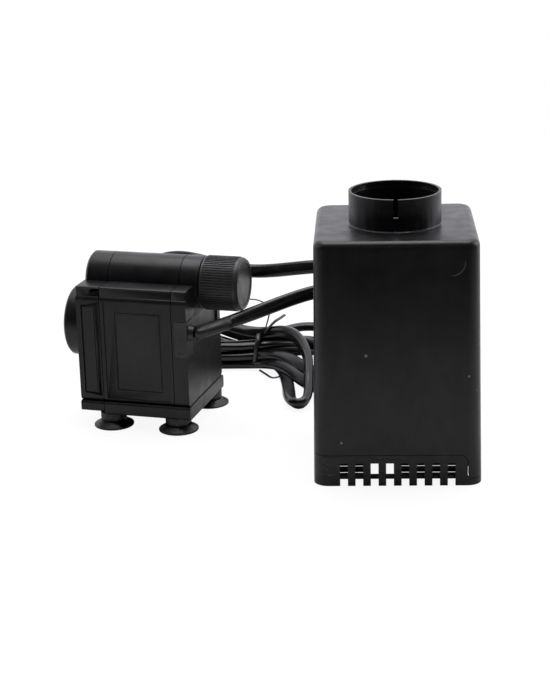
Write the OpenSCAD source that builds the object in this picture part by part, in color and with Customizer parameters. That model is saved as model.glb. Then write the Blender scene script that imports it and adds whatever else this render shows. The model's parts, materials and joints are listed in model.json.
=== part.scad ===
// Small submersible fountain pump on suction cups, with its mains lead, and the tall
// strainer housing that the pump stands in when it is in the water.
// Millimetres, +Z up. The origin is on the floor under the middle of the two rigid pieces.
// The pump is drawn in its own frame (X along its shaft from the intake to the control
// cap, Y across, Z up) and set down beside the housing by in_pump_place().

/* [Pump body] */
// Length of the pump body along its shaft
body_l = 69; // [60:1:80]
// Width of the pump body across its shaft
body_w = 63; // [56:1:70]
// Height of the top face of the body above the floor
body_top = 83; // [75:1:90]
// Height of the underside of the foot above the floor
foot_z = 9; // [7:0.5:12]
// Height of the foot band
foot_h = 8; // [6:0.5:10]
// Length of the front cover slice
cover_l = 15; // [12:0.5:18]
// Length of the rear cover slice
rear_l = 9.5; // [8:0.5:12]
// Wall thickness of the mouldings
wall = 2.5; // [2:0.1:3]
// Gap that shows as a dark line between two mouldings
seam = 0.4; // [0.3:0.1:0.8]
// Radius of the long edges of the body
edge_r = 3; // [2:0.5:4]

/* [Outlet chamber] */
// Radius of the round chamber on top of the body
chamber_r = 16; // [14:0.5:18]
// Height of the axis of the chamber
chamber_z = 86; // [82:1:90]
// Radius of the bore of the chamber
chamber_bore_r = 11.5; // [10:0.5:12]
// Radius of the outlet at the front end of the chamber
outlet_r = 6; // [5:0.5:10]
// Length of the outlet bore
outlet_l = 10; // [8:1:12]
// Height of the saddle that carries the chamber
saddle_h = 5; // [4:0.5:6]

/* [Control cap] */
// Outer radius of the ribbed control cap
cap_r = 16.4; // [15:0.1:18]
// Length of the control cap
cap_l = 23.6; // [20:0.2:28]
// Number of ribs round the cap
cap_ribs = 64; // [48:4:80]
// Height of a rib
rib_h = 0.5; // [0.3:0.1:0.7]

/* [Intake] */
// Height of the shaft axis above the floor
shaft_z = 58; // [54:1:60]
// Outer radius of the intake ring
intake_r = 21.5; // [20:0.5:23]
// Length that the intake ring stands out of the cover
intake_l = 13.5; // [10:0.5:15]
// Number of slots in the intake grille
intake_slots = 10; // [8:1:12]

/* [Suction cups] */
// Radius of a suction cup at the floor
cup_r = 12; // [10:0.5:13]
// Radius of the neck of a suction cup
cup_neck_r = 7.8; // [6:0.2:9]
// Distance between the cups along the pump
cup_pitch_x = 41.5; // [38:0.5:44]
// Distance between the cups across the pump
cup_pitch_y = 48.5; // [42:0.5:56]
// Distance from the shaft to the front pair of cups
cup_front_y = 23.5; // [20:0.5:26]
// Distance from the middle of the body to the cups near the intake
cup_front_x = 17.2; // [14:0.2:22]
// How far the back pair of cups sits towards the control cap
cup_back_shift = 3.5; // [0:0.5:4]

/* [Strainer housing] */
// Width of the housing at the floor
box_w = 92; // [85:1:100]
// Depth of the housing at the floor
box_d = 95; // [85:1:100]
// Height of the housing without its collar
box_h = 137; // [125:1:150]
// How far each side leans in over the full height
box_draft = 1.8; // [1:0.1:2.5]
// Wall thickness of the housing
box_wall = 2.4; // [2:0.1:3]
// Radius of the upright corners
box_corner_r = 8; // [6:0.5:10]
// Radius of the top edge
box_top_r = 4; // [3:0.5:5]
// Height of the clip-on base
base_h = 17.5; // [15:0.5:20]
// Outer radius of the collar
collar_r = 25.5; // [24:0.1:27]
// Inner radius of the collar
collar_bore_r = 23.3; // [22:0.1:24.5]
// Height of the collar above the housing
collar_h = 18; // [15:1:22]
// Width of the slot in the front of the collar that lets it spring
collar_slot_w = 2.5; // [2:0.1:4]
// Depth of the collar slot below the rim
collar_slot_h = 10; // [8:1:14]
// Width of the groove inside the back of the collar
collar_groove_w = 1; // [0.6:0.1:2]
// Number of slots in the front and the back of the base
base_slots = 8; // [6:1:10]
// Width of a base slot
base_slot_w = 4.2; // [3.5:0.1:5]
// Distance between base slots
base_slot_pitch = 8.4; // [7:0.1:9]
// Height of the top of the base slots above the floor
base_slot_h = 13; // [10:0.5:14]

/* [Mains lead] */
// Diameter of the mains lead
cord_d = 6.6; // [6:0.1:8]
// Length of the tied hank of lead
hank_l = 170; // [150:1:200]
// Width of the tied hank
hank_w = 44; // [45:1:70]
// Height of the tied hank
hank_h = 27; // [20:1:34]

/* [Hidden] */
$fn = 64;
eps = 0.01;

// places of the two rigid pieces in the shared frame
pump_x = -71;
pump_y = 40.5;
pump_yaw = -13.3;
box_x = 77;
box_y = -31;

// pump stations along X
front_x = -body_l / 2;
cover_x = front_x + cover_l;
rear_x = body_l / 2 - rear_l;
back_x = body_l / 2;
band_z = foot_z + foot_h;
side_y = body_w / 2;
panel_depth = 0.7;
groove_depth = 0.5;
groove_w = 1.2;

// pump insides
well_r = 10.5;
well_wall = 1.5;
well_end = 14;
volute_r = 15.2;
gasket_r = 16.3;
gasket_w = 0.8;
gasket_seat = 1.2;
volute_front = front_x + 3;
inlet_r = 11;
shaft_r = 2;
shaft_run = 0.05;
shaft_front = front_x - 0.5;
shaft_back = 17;
rotor_r = 9.5;
rotor_front = -17.5;
rotor_back = 12;
impeller_r = 14;
impeller_front = -29.5;
impeller_back = -20.5;
blades = 6;
blade_t = 1.4;
bush_r = 4;
core_x0 = -10;
core_x1 = 11;
core_leg_y0 = 12;
pole_y = 7.6;
pole_z = 42;
core_leg_y1 = 22;
core_z0 = 23;
core_z1 = 69;
core_bridge = 10;
coil_y = 10.5;
coil_t = 4;
flange_t = 1.4;
bobbin_t = 1.3;
potting_x = 17.5;

// control cap
ring_end = back_x + 2.8;
cap_x0 = ring_end + seam;
cap_x1 = cap_x0 + cap_l;
spigot_r = 14.2;
spigot_l = 13;
barrel_r = chamber_bore_r - 0.1;
barrel_wall = 2;
barrel_front = -23;

// gland
gland_z0 = 48;
gland_z1 = 70;
gland_w = 10;
gland_out = 0.4;
lead_y = -26;
lead_z = 62;
nub_l = 3;
nub_r = 5;

// housing
leg_w = 7.5;
leg_d = 22;
leg_z = 4;
leg_r = 2.5;
leg_fillet = 4.5;
leg_gap = 0.3;
collar_fillet = 0.6;
collar_ledge = 3.4;
collar_rim_r = collar_bore_r + 0.7;
collar_groove_web = 0.8;
base_wall = 2.4;
tab_l_front = 26;
tab_l_side = 18;
grid_z = 2;
grid_t = 2;
grid_pitch = 9.5;
grid_bar = 4.6;
grid_edge = 5;
grid_gap = base_wall + 2.4;
window_x0 = -17;
window_x1 = 0.5;
window_y0 = 8;
window_y1 = 28;

// mains lead: the routes run through these points on smooth curves
lead_sides = 10;
pump_route = [
    [-40, 6.5, 62], [-23, 9, 66.5], [-8, 11.5, 71.5], [9.5, 15.5, 77], [29, 21.5, 82.5],
    [52, 22.5, 85], [74, 26, 79], [94, 36, 61], [106, 54, 36], [104, 76, 14],
    [94, 98, 5], [84, 118, 3.5], [70, 136, 3.5], [56, 146, 3.5]
];
loop_route = [
    [-12, 131.5, 20.8], [-4, 130, 23.5], [4, 127, 26.5], [12, 121, 26.5], [19, 110, 23],
    [23.5, 95, 17.5], [25.5, 78, 10], [25, 61, 4.8], [19, 46, 3.5], [12.5, 55, 3.5],
    [11.5, 67, 3.5], [10, 82, 3.5], [8, 98, 3.5], [4, 115, 3.5], [-3, 127, 3.5],
    [-12, 133.5, 3.5]
];
plug_route = [
    [-84, 140, 3.5], [-100, 139, 3.5], [-112, 131, 5], [-114, 116, 14], [-109, 102, 32],
    [-99, 92, 52], [-87, 85, 71], [-74, 79, 86], [-60, 70, 92.5], [-46, 62, 93.5],
    [-28, 54, 92], [-10, 48, 90.5], [9, 42, 92.5], [28, 36, 95], [52, 30.5, 95.5],
    [78, 34, 90], [103, 44, 73], [117, 62, 46], [120, 86, 20], [114, 108, 8],
    [108, 122, 6.9]
];
hank_x = -20;
hank_y = 143;
tie_x = 9;
tie_w = 3;
tie_t = 0.8;

// plug
plug_x = 108;
plug_y = 122;
plug_turn = 112;
plug_t = 13.8;
plug_w = 26;
plug_l = 35;
relief_l = 24;
pin_gap = 18.6;
pin_r = 2;
pin_l = 19;
pin_root = 4;
plug_neck_w = 16;
plug_taper_l = 8;

plastic = [0.08, 0.075, 0.08];
rubber = [0.04, 0.04, 0.045];
steel = [0.6, 0.62, 0.65];
copper = [0.72, 0.42, 0.25];
magnet = [0.2, 0.2, 0.22];
ceramic = [0.9, 0.9, 0.88];
brass = [0.78, 0.62, 0.3];

// ---------- helpers ----------

module in_pump_place() {
    translate([pump_x, pump_y, 0]) rotate([0, 0, pump_yaw]) children();
}

// a flat outline in (Y, Z) drawn out along X from x0 to x1
module along_x(x0, x1) {
    translate([x0, 0, 0]) rotate([90, 0, 90]) linear_extrude(x1 - x0) children();
}

module tube_x(x0, x1, r) {
    translate([x0, 0, 0]) rotate([0, 90, 0]) cylinder(h = x1 - x0, r = r);
}

module cone_x(x0, x1, r0, r1) {
    translate([x0, 0, 0]) rotate([0, 90, 0]) cylinder(h = x1 - x0, r1 = r0, r2 = r1);
}

module block(x0, x1, y0, y1, z0, z1) {
    translate([x0, y0, z0]) cube([x1 - x0, y1 - y0, z1 - z0]);
}

module round_rect(y0, y1, z0, z1, r) {
    translate([y0 + r, z0]) square([y1 - y0 - 2 * r, z1 - z0]);
    translate([y0, z0 + r]) square([y1 - y0, z1 - z0 - 2 * r]);
    for (y = [y0 + r, y1 - r], z = [z0 + r, z1 - r]) translate([y, z]) circle(r);
}

// the slice outline shared by the three body mouldings
module body_outline() {
    round_rect(-side_y, side_y, band_z, body_top, edge_r);
    translate([-side_y + 1.5, body_top - 2]) square([body_w - 3, saddle_h + 2 - 1]);
    round_rect(-side_y + 1.5, side_y - 1.5, body_top, body_top + saddle_h, 1.5);
}

module chamber_bore(x0, x1) {
    translate([0, 0, chamber_z]) tube_x(x0, x1, chamber_bore_r);
}

// ---------- foot and cups ----------

module foot_base() {
    in_pump_place() color(plastic) difference() {
        union() {
            along_x(cover_x, back_x + 0.6)
                round_rect(-side_y - 0.7, side_y + 0.7, foot_z, band_z, 1.6);
            along_x(front_x, cover_x - seam)
                round_rect(-side_y - 0.7, side_y + 0.7, foot_z + 1.6, band_z, 1.6);
            block(cover_x - 2, cover_x + 2, -side_y + 4, side_y - 4, foot_z + 2, band_z - 2);
        }
        block(front_x + wall, back_x - wall, -side_y + 12, side_y - 12, foot_z - 1, band_z - wall);
        for (p = cup_places) translate([p[0], p[1], foot_z - 1]) cylinder(h = 6, r = 3.6);
    }
}

// places of the cups: front left, front right, back left, back right
cup_places = [
    for (row = [0, 1], column = [0, 1])
        [-cup_front_x + column * cup_pitch_x + row * cup_back_shift, -cup_front_y + row * cup_pitch_y]
];

module suction_cup(place) {
    translate([place[0], place[1], 0]) color(rubber) difference() {
        union() {
            cylinder(h = 1, r = cup_r);
            translate([0, 0, 1]) cylinder(h = 2.6, r1 = cup_r - 0.4, r2 = cup_neck_r);
            translate([0, 0, 3.5]) cylinder(h = 1.6, r = cup_neck_r - 1.6);
            translate([0, 0, 5]) cylinder(h = foot_z - 5, r = cup_neck_r);
            translate([0, 0, foot_z - eps]) cylinder(h = 4, r = 3.5);
        }
        translate([0, 0, -eps]) cylinder(h = 1.6, r1 = cup_r - 1.2, r2 = cup_r * 0.45);
    }
}

module cup_front_left() { in_pump_place() suction_cup(cup_places[0]); }
module cup_front_right() { in_pump_place() suction_cup(cup_places[1]); }
module cup_back_left() { in_pump_place() suction_cup(cup_places[2]); }
module cup_back_right() { in_pump_place() suction_cup(cup_places[3]); }

// ---------- body mouldings ----------

// a rectangular groove of the given width in a plate at Y = 0, inside the given outline
module groove(x0, x1, z0, z1, depth, width) {
    difference() {
        block(x0, x1, -depth, depth, z0, z1);
        block(x0 + width, x1 - width, -depth - 1, depth + 1, z0 + width, z1 - width);
    }
}

// the sunk side panels of the motor housing, each with a plate outline inside it
module side_panels(x0, x1) {
    for (s = [-1, 1]) {
        translate([0, s * side_y, 0])
            block(x0 + 2.2, x1 - 1.5, -panel_depth, panel_depth, band_z + 2.5, body_top - 3.5);
        translate([0, s * (side_y - panel_depth), 0])
            groove(x0 + 9, x1 - 6.5, band_z + 8, body_top - 9, groove_depth, groove_w);
    }
}

module motor_housing() {
    in_pump_place() color(plastic) difference() {
        union() {
            difference() {
                along_x(cover_x, rear_x) body_outline();
                block(cover_x + 3, rear_x + 1, -side_y + wall, side_y - wall,
                      band_z + wall, body_top - wall);
            }
            translate([0, 0, chamber_z]) tube_x(cover_x, rear_x, chamber_r);
            translate([0, 0, shaft_z]) tube_x(cover_x, well_end + 2, well_r + well_wall);
            block(cover_x + 1, well_end + 2, -2, 2, shaft_z + well_r + 1, chamber_z - chamber_bore_r - 1.5);
        }
        side_panels(cover_x, rear_x);
        chamber_bore(cover_x - 1, rear_x + 1);
        translate([0, 0, shaft_z]) {
            tube_x(cover_x - 1, well_end, well_r);
            tube_x(well_end - 1, well_end + 1.2, bush_r);
            difference() {
                tube_x(cover_x - 1, cover_x + gasket_seat, gasket_r + 0.1);
                tube_x(cover_x - 2, cover_x + 2, gasket_r - gasket_w - 0.1);
            }
        }
    }
}

module volute_gasket() {
    in_pump_place() color(rubber) translate([0, 0, shaft_z]) difference() {
        tube_x(cover_x - seam, cover_x + gasket_seat - 0.1, gasket_r);
        tube_x(cover_x - 2, cover_x + 2, gasket_r - gasket_w);
    }
}

module front_cover() {
    x1 = cover_x - seam;
    in_pump_place() color(plastic) difference() {
        union() {
            along_x(front_x, x1) body_outline();
            translate([0, 0, chamber_z]) {
                tube_x(front_x + 1.5, x1, chamber_r);
                cone_x(front_x, front_x + 1.5, chamber_r - 1.5, chamber_r);
            }
        }
        translate([0, 0, shaft_z]) {
            tube_x(volute_front, x1 + 1, volute_r);
            difference() {
                tube_x(front_x - 1, volute_front + 1, inlet_r);
                for (a = [90, 210, 330]) rotate([a, 0, 0])
                    block(front_x - 2, front_x + 2, -1.2, 1.2, 0, inlet_r + 1);
                tube_x(front_x - 2, front_x + 2, bush_r + 1.6);
            }
            tube_x(front_x - 2, volute_front + 2, bush_r);
        }
        chamber_bore(front_x + outlet_l, x1 + 1);
        translate([0, 0, chamber_z]) tube_x(front_x - 1, front_x + outlet_l + 1, outlet_r);
        block(volute_front, x1 - 2.5, -7, 7, shaft_z + 10, chamber_z - 4);
        for (s = [-1, 1]) translate([0, s * side_y, 0])
            groove(front_x + 3, cover_x - 3, band_z + 5, body_top - 6, groove_depth, 1);
    }
}

module intake_ring() {
    x0 = front_x - intake_l;
    in_pump_place() color(plastic) translate([0, 0, shaft_z]) difference() {
        union() {
            cone_x(x0, x0 + 1.2, intake_r - 1.2, intake_r);
            tube_x(x0 + 1.2, front_x - 0.3, intake_r);
        }
        tube_x(x0 + 2.5, front_x, intake_r - 2.4);
        tube_x(x0 - 1, x0 + 3, 4);
        for (i = [0 : intake_slots - 1]) rotate([i * 360 / intake_slots, 0, 0])
            block(x0 - 1, x0 + 3, -1.6, 1.6, 6.5, intake_r - 4);
    }
}

module rear_cover() {
    in_pump_place() color(plastic) difference() {
        union() {
            difference() {
                along_x(rear_x + seam, back_x) body_outline();
                block(rear_x, back_x - wall, -side_y + wall, side_y - wall,
                      band_z + wall, body_top - wall);
            }
            translate([0, 0, chamber_z]) {
                tube_x(rear_x + seam, ring_end - 0.8, chamber_r);
                cone_x(ring_end - 0.8 - eps, ring_end, chamber_r, chamber_r - 0.8);
                tube_x(ring_end - 1, ring_end + spigot_l, spigot_r);
            }
            block(rear_x + seam, back_x - 1, -side_y + 2, -side_y + gland_w + 3.6,
                  gland_z0 - 2.5, gland_z1 + 2.5);
        }
        chamber_bore(rear_x - 1, ring_end + spigot_l + 1);
        block(rear_x + seam + 1.5, back_x + 1, -side_y - 1, -side_y + gland_w, gland_z0, gland_z1);
        translate([0, lead_y, lead_z]) tube_x(rear_x - 1, rear_x + 4, cord_d / 2 + 0.3);
        block(back_x - 1.2, back_x + 1, -side_y + gland_w + 2.5, side_y - 5, 50, body_top - 14);
        translate([ring_end + 8, 0, chamber_z]) difference() {
            tube_x(-0.9, 0.9, spigot_r + 1);
            tube_x(-1, 1, spigot_r - 1.3);
        }
    }
}

module cable_gland() {
    in_pump_place() color(rubber) difference() {
        union() {
            block(rear_x + seam + 1.6, back_x + gland_out, -side_y - gland_out,
                  -side_y + gland_w - 0.1, gland_z0 + 0.15, gland_z1 - 0.15);
            translate([0, lead_y, lead_z])
                cone_x(back_x + gland_out - eps, back_x + gland_out + nub_l, nub_r, nub_r - 0.8);
        }
        block(rear_x + 4, back_x - 2, -side_y - 1, -side_y, gland_z0 + 2.5, gland_z0 + 3.3);
    }
}

// ---------- rotor and motor ----------

module shaft() {
    in_pump_place() color(ceramic) translate([0, 0, shaft_z])
        tube_x(shaft_front + 1, shaft_back - 2, shaft_r);
}

module front_bush() {
    in_pump_place() color(rubber) translate([0, 0, shaft_z]) difference() {
        tube_x(front_x, front_x + 2.9, bush_r - 0.05);
        tube_x(shaft_front + 0.9, front_x + 4, shaft_r + shaft_run);
    }
}

module rear_bush() {
    in_pump_place() color(rubber) translate([0, 0, shaft_z]) difference() {
        tube_x(well_end - 1.2, well_end + 1.15, bush_r - 0.05);
        tube_x(well_end - 2, shaft_back - 1.95, shaft_r + shaft_run);
    }
}

module rotor_magnet() {
    in_pump_place() color(magnet) translate([0, 0, shaft_z]) difference() {
        tube_x(rotor_front, rotor_back, rotor_r);
        tube_x(rotor_front - 1, rotor_back + 1, shaft_r + shaft_run);
    }
}

module impeller() {
    in_pump_place() color(plastic) translate([0, 0, shaft_z]) difference() {
        union() {
            tube_x(impeller_front, rotor_front, 4.6);
            tube_x(impeller_back - 1.4, impeller_back, impeller_r);
            for (i = [0 : blades - 1]) rotate([i * 360 / blades, 0, 0])
                block(impeller_front + 1, impeller_back - 1, -blade_t / 2, blade_t / 2, 3, impeller_r);
        }
        tube_x(impeller_front - 1, rotor_front + 1, shaft_r + shaft_run);
    }
}

module stator_core() {
    in_pump_place() color(steel) difference() {
        union() {
            for (s = [0, 1]) mirror([0, s, 0]) {
                block(core_x0, core_x1, core_leg_y0, core_leg_y1, core_z0, core_z1);
                block(core_x0, core_x1, pole_y, core_leg_y1, pole_z, core_z1);
            }
            block(core_x0, core_x1, -core_leg_y1, core_leg_y1, core_z0, core_z0 + core_bridge);
        }
        translate([0, 0, shaft_z]) tube_x(core_x0 - 1, core_x1 + 1, well_r + well_wall + 0.4);
    }
}

// a box round the bridge of the core, standing off it by a gap
module round_bridge(gap, y) {
    block(core_x0 - gap, core_x1 + gap, -y, y, core_z0 - gap, core_z0 + core_bridge + gap);
}

module coil_bobbin() {
    in_pump_place() color(ceramic) difference() {
        union() {
            for (s = [-1, 1]) translate([0, s * coil_y, 0])
                block(core_x0 - coil_t - 1.4, core_x1 + coil_t + 1.4, -flange_t / 2, flange_t / 2,
                      core_z0 - 3.2, core_z0 + core_bridge + coil_t + 1.4);
            round_bridge(bobbin_t, coil_y);
        }
        round_bridge(0.1, coil_y + flange_t);
    }
}

module coil_winding() {
    y = coil_y - flange_t / 2 - 0.1;
    in_pump_place() color(copper) difference() {
        block(core_x0 - coil_t - 1, core_x1 + coil_t + 1, -y, y,
              core_z0 - 3, core_z0 + core_bridge + coil_t + 1);
        round_bridge(bobbin_t + 0.1, y + 1);
    }
}

module potting() {
    in_pump_place() color(magnet) difference() {
        block(potting_x, rear_x - 0.2, -side_y + wall + 0.1, side_y - wall - 0.1,
              band_z + wall + 0.1, body_top - wall - 0.1);
        translate([0, 0, chamber_z]) tube_x(potting_x - 1, rear_x + 1, chamber_r + 0.3);
        translate([0, lead_y, lead_z]) tube_x(rear_x - 4, rear_x + 1, cord_d / 2);
    }
}

// ---------- control cap ----------

module valve_barrel() {
    in_pump_place() color(plastic) translate([0, 0, chamber_z]) difference() {
        tube_x(barrel_front, cap_x1 - 2.6, barrel_r);
        tube_x(barrel_front - 1, cap_x1 - 6, barrel_r - barrel_wall);
        block(barrel_front - 1, barrel_front + 9, -8, 8, -barrel_r - 1, 0);
    }
}

// the rib profile in (Y, Z): a ring of alternate high and low points
module ribbed_outline() {
    steps = cap_ribs * 4;
    polygon([
        for (i = [0 : steps - 1])
            let (r = cap_r - (i % 4 < 2 ? 0 : rib_h), a = i * 360 / steps) [r * cos(a), r * sin(a)]
    ]);
}

module control_cap() {
    in_pump_place() color(plastic) translate([0, 0, chamber_z]) difference() {
        union() {
            tube_x(cap_x0, cap_x0 + 1, cap_r - rib_h);
            along_x(cap_x0 + 1 - eps, cap_x1 - 3.5) ribbed_outline();
            tube_x(cap_x1 - 3.6, cap_x1 - 1.6, cap_r - rib_h);
            cone_x(cap_x1 - 1.6 - eps, cap_x1, cap_r - rib_h, cap_r - rib_h - 1.1);
        }
        tube_x(cap_x0 - 1, cap_x1 - 2.6, spigot_r + 0.35);
        tube_x(cap_x1 - 0.4, cap_x1 + 1, cap_r - 3.6);
    }
}

module cap_seal() {
    in_pump_place() color(rubber) translate([ring_end + 8, 0, chamber_z]) rotate([0, 90, 0])
        rotate_extrude() translate([spigot_r - 0.55, 0]) circle(0.7);
}

// ---------- strainer housing ----------

// a block with round corners that leans in as it rises, drawn inset from the outer faces
module drafted_block(inset, z0, z1, round_top) {
    r = box_corner_r - inset;
    function lean(z) = box_draft * z / box_h;
    hull() for (sx = [-1, 1], sy = [-1, 1]) {
        x0 = box_w / 2 - box_corner_r - lean(z0);
        y0 = box_d / 2 - box_corner_r - lean(z0);
        x1 = box_w / 2 - box_corner_r - lean(z1);
        y1 = box_d / 2 - box_corner_r - lean(z1);
        translate([sx * x0, sy * y0, z0]) cylinder(h = 0.1, r = r, $fn = 32);
        translate([sx * x1, sy * y1, z1 - round_top])
            rotate_extrude($fn = 32) translate([r - round_top, 0]) circle(round_top, $fn = 32);
    }
}

module in_box_place() {
    translate([box_x, box_y, 0]) children();
}

// the outline of a leg of the shell in (X, Z), or with a gap the outline cut for it in the base
module leg_outline(gap) {
    x0 = box_w / 2 - leg_w - gap;
    z0 = leg_z - gap;
    fillet_x = box_w / 2 - leg_w - leg_fillet;
    fillet_z = base_h + leg_gap - leg_fillet;
    translate([x0 + leg_r, z0]) square([leg_w + 1, base_h + 1 - z0]);
    translate([x0, z0 + leg_r]) square([leg_w, base_h + 1 - z0 - leg_r]);
    translate([x0 + leg_r, z0 + leg_r]) circle(leg_r);
    difference() {
        translate([fillet_x, fillet_z]) square(leg_fillet + leg_gap);
        translate([fillet_x, fillet_z]) circle(leg_fillet - gap);
    }
}

module leg_blocks(gap) {
    for (a = [0, 180]) rotate([0, 0, a])
        translate([0, -box_d / 2 + leg_d + gap, 0]) rotate([90, 0, 0])
            linear_extrude(leg_d + gap + 1) leg_outline(gap);
}

module housing_shell() {
    in_box_place() color(plastic) {
        difference() {
            union() {
                drafted_block(0, base_h + leg_gap, box_h, box_top_r);
                translate([0, 0, box_h - 3]) cylinder(h = collar_h + 3, r = collar_r);
                translate([0, 0, box_h - eps])
                    cylinder(h = collar_fillet, r1 = collar_r + collar_fillet, r2 = collar_r);
            }
            drafted_block(box_wall, base_h - 1, box_h - box_wall, 1.6);
            translate([0, 0, box_h - 10]) cylinder(h = collar_h + 20, r = collar_bore_r);
            translate([0, 0, box_h + collar_h - collar_ledge])
                cylinder(h = collar_ledge + 1, r = collar_rim_r);
            block(-collar_slot_w / 2, collar_slot_w / 2, -collar_r - 2, 0,
                  box_h + collar_h - collar_slot_h, box_h + collar_h + 1);
            block(-collar_groove_w / 2, collar_groove_w / 2, 0, collar_r - collar_groove_web,
                  box_h, box_h + collar_h + 1);
        }
        intersection() {
            difference() {
                drafted_block(0, leg_z, box_h, box_top_r);
                drafted_block(box_wall, leg_z - 1, box_h - box_wall, 1.6);
            }
            leg_blocks(0);
        }
    }
}

// a tab on the inside of the base that reaches up inside the shell
module clip_tab(wall_y, half_l) {
    block(-half_l, half_l, -wall_y + base_wall - 0.3, -wall_y + base_wall + 2.4, base_h - 4, base_h);
    block(-half_l, half_l, -wall_y + base_wall + 0.7, -wall_y + base_wall + 2.4,
          base_h - 1, base_h + 5);
}

module housing_base() {
    in_box_place() color(plastic) difference() {
        union() {
            difference() {
                drafted_block(0, 0, base_h + 0.02, 0.01);
                drafted_block(base_wall, -1, base_h + 2, 0.01);
            }
            for (a = [0, 180]) rotate([0, 0, a]) {
                clip_tab(box_d / 2, tab_l_front);
                rotate([0, 0, 90]) clip_tab(box_w / 2, tab_l_side);
            }
        }
        for (i = [0 : base_slots - 1])
            translate([(i - (base_slots - 1) / 2) * base_slot_pitch, 0, 0])
                block(-base_slot_w / 2, base_slot_w / 2, -box_d, box_d, -1, base_slot_h);
        leg_blocks(leg_gap);
    }
}

// floor grid: bars across the base, with a window in front of the middle
module base_grid() {
    x1 = box_w / 2 - grid_gap;
    y1 = box_d / 2 - grid_gap;
    in_box_place() color(plastic) difference() {
        block(-x1, x1, -y1, y1, grid_z, grid_z + grid_t);
        for (y = [-y1 + grid_edge : grid_pitch : y1 - grid_edge - grid_bar])
            block(-x1 + grid_edge, x1 - grid_edge, y, y + grid_pitch - grid_bar, 0, base_h);
        block(window_x0, window_x1, -box_d / 2 + window_y0, -box_d / 2 + window_y1, 0, base_h);
        for (a = [0, 180]) rotate([0, 0, a])
            block(box_w / 2 - leg_w - 1, box_w / 2, -box_d / 2, -box_d / 2 + leg_d + 1, 0, base_h);
    }
}

// ---------- mains lead ----------

function unit(v) = v / norm(v);

// a point on the smooth curve through p, between p[i] and p[i + 1]
function on_curve(p, i, t) =
    let (
        a = i > 0 ? p[i - 1] : 2 * p[0] - p[1],
        d = i < len(p) - 2 ? p[i + 2] : 2 * p[i + 1] - p[i]
    )
    0.5 * (2 * p[i] + (p[i + 1] - a) * t + (2 * a - 5 * p[i] + 4 * p[i + 1] - d) * t * t
        + (3 * p[i] - a - 3 * p[i + 1] + d) * t * t * t);

function curve(p, steps) = [
    for (i = [0 : len(p) - 2], k = [0 : steps - 1]) on_curve(p, i, k / steps),
    p[len(p) - 1]
];

function heading(c, i) = unit(c[min(i + 1, len(c) - 1)] - c[max(i - 1, 0)]);

function squared(v, t) = unit(v - (v * t) * t);

// the sideways direction of each ring, turned no more than the curve turns
function sides_of(c) = [
    for (i = 0, s = squared([0.1, 0.2, 1], heading(c, 0)); i < len(c);
         i = i + 1, s = i < len(c) ? squared(s, heading(c, i)) : s) s
];

// a round tube of closed ends along the smooth curve through a route
module swept_lead(route, steps) {
    c = curve(route, steps);
    side = sides_of(c);
    n = lead_sides;
    points = [
        for (i = [0 : len(c) - 1])
            let (t = heading(c, i), u = side[i], w = cross(t, u))
            for (k = [0 : n - 1]) c[i] + cord_d / 2 * (cos(k * 360 / n) * u + sin(k * 360 / n) * w)
    ];
    walls = [
        for (i = [0 : len(c) - 2], k = [0 : n - 1])
            let (a = i * n + k, b = i * n + (k + 1) % n)
            each [[a, a + n, b], [b, a + n, b + n]]
    ];
    ends = [[for (k = [0 : n - 1]) k], [for (k = [n - 1 : -1 : 0]) (len(c) - 1) * n + k]];
    polyhedron(points, concat(walls, ends));
}

module lead_from_pump() { color(rubber) swept_lead(pump_route, 2); }
module lead_to_plug() { color(rubber) swept_lead(plug_route, 2); }
module lead_loop() { color(rubber) swept_lead(loop_route, 1); }

module in_hank_place() {
    translate([hank_x, hank_y, 0]) children();
}

module lead_hank() {
    in_hank_place() color(rubber) translate([0, 0, tie_t]) linear_extrude(hank_h) {
        square([hank_l - hank_w, hank_w], center = true);
        for (s = [-1, 1]) translate([s * (hank_l - hank_w) / 2, 0]) circle(hank_w / 2);
    }
}

module twist_tie() {
    in_hank_place() color(rubber) translate([tie_x, 0, 0]) difference() {
        block(-tie_w / 2, tie_w / 2, -hank_w / 2 - tie_t, hank_w / 2 + tie_t, 0, hank_h + 2 * tie_t);
        block(-tie_w, tie_w, -hank_w / 2, hank_w / 2, tie_t, hank_h + tie_t);
    }
}

module in_plug_place() {
    translate([plug_x, plug_y, plug_t / 2]) rotate([0, 0, plug_turn]) children();
}

module plug_relief() {
    in_plug_place() color(rubber) cone_x(0, relief_l, cord_d / 2 + 0.4, cord_d / 2 + 2);
}

module plug_body() {
    in_plug_place() color(plastic) translate([relief_l, 0, 0]) difference() {
        linear_extrude(plug_t, center = true)
            polygon([[0, -plug_neck_w / 2], [plug_taper_l, -plug_w / 2], [plug_l, -plug_w / 2],
                     [plug_l, plug_w / 2], [plug_taper_l, plug_w / 2], [0, plug_neck_w / 2]]);
        for (s = [-1, 1]) translate([plug_l, s * pin_gap / 2, 0]) tube_x(-pin_root, 1, pin_r);
    }
}

module plug_pins() {
    in_plug_place() color(brass) for (s = [-1, 1])
        translate([relief_l + plug_l, s * pin_gap / 2, 0]) tube_x(-pin_root, pin_l, pin_r);
}

foot_base();
cup_front_left();
cup_front_right();
cup_back_left();
cup_back_right();
motor_housing();
front_cover();
intake_ring();
volute_gasket();
rear_cover();
shaft();
front_bush();
rear_bush();
rotor_magnet();
impeller();
stator_core();
coil_bobbin();
coil_winding();
potting();
valve_barrel();
control_cap();
cap_seal();
cable_gland();
housing_shell();
housing_base();
base_grid();
lead_from_pump();
lead_loop();
lead_hank();
lead_to_plug();
twist_tie();
plug_relief();
plug_body();
plug_pins();
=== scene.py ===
"""Looks of a small fountain pump and its strainer housing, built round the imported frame.

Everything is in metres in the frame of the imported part: +X to the right, +Y to the back,
+Z up, and the floor at Z = 0.
"""

import json
import math

import bmesh
import bpy
import numpy as np
from mathutils import Matrix, Vector


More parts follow.
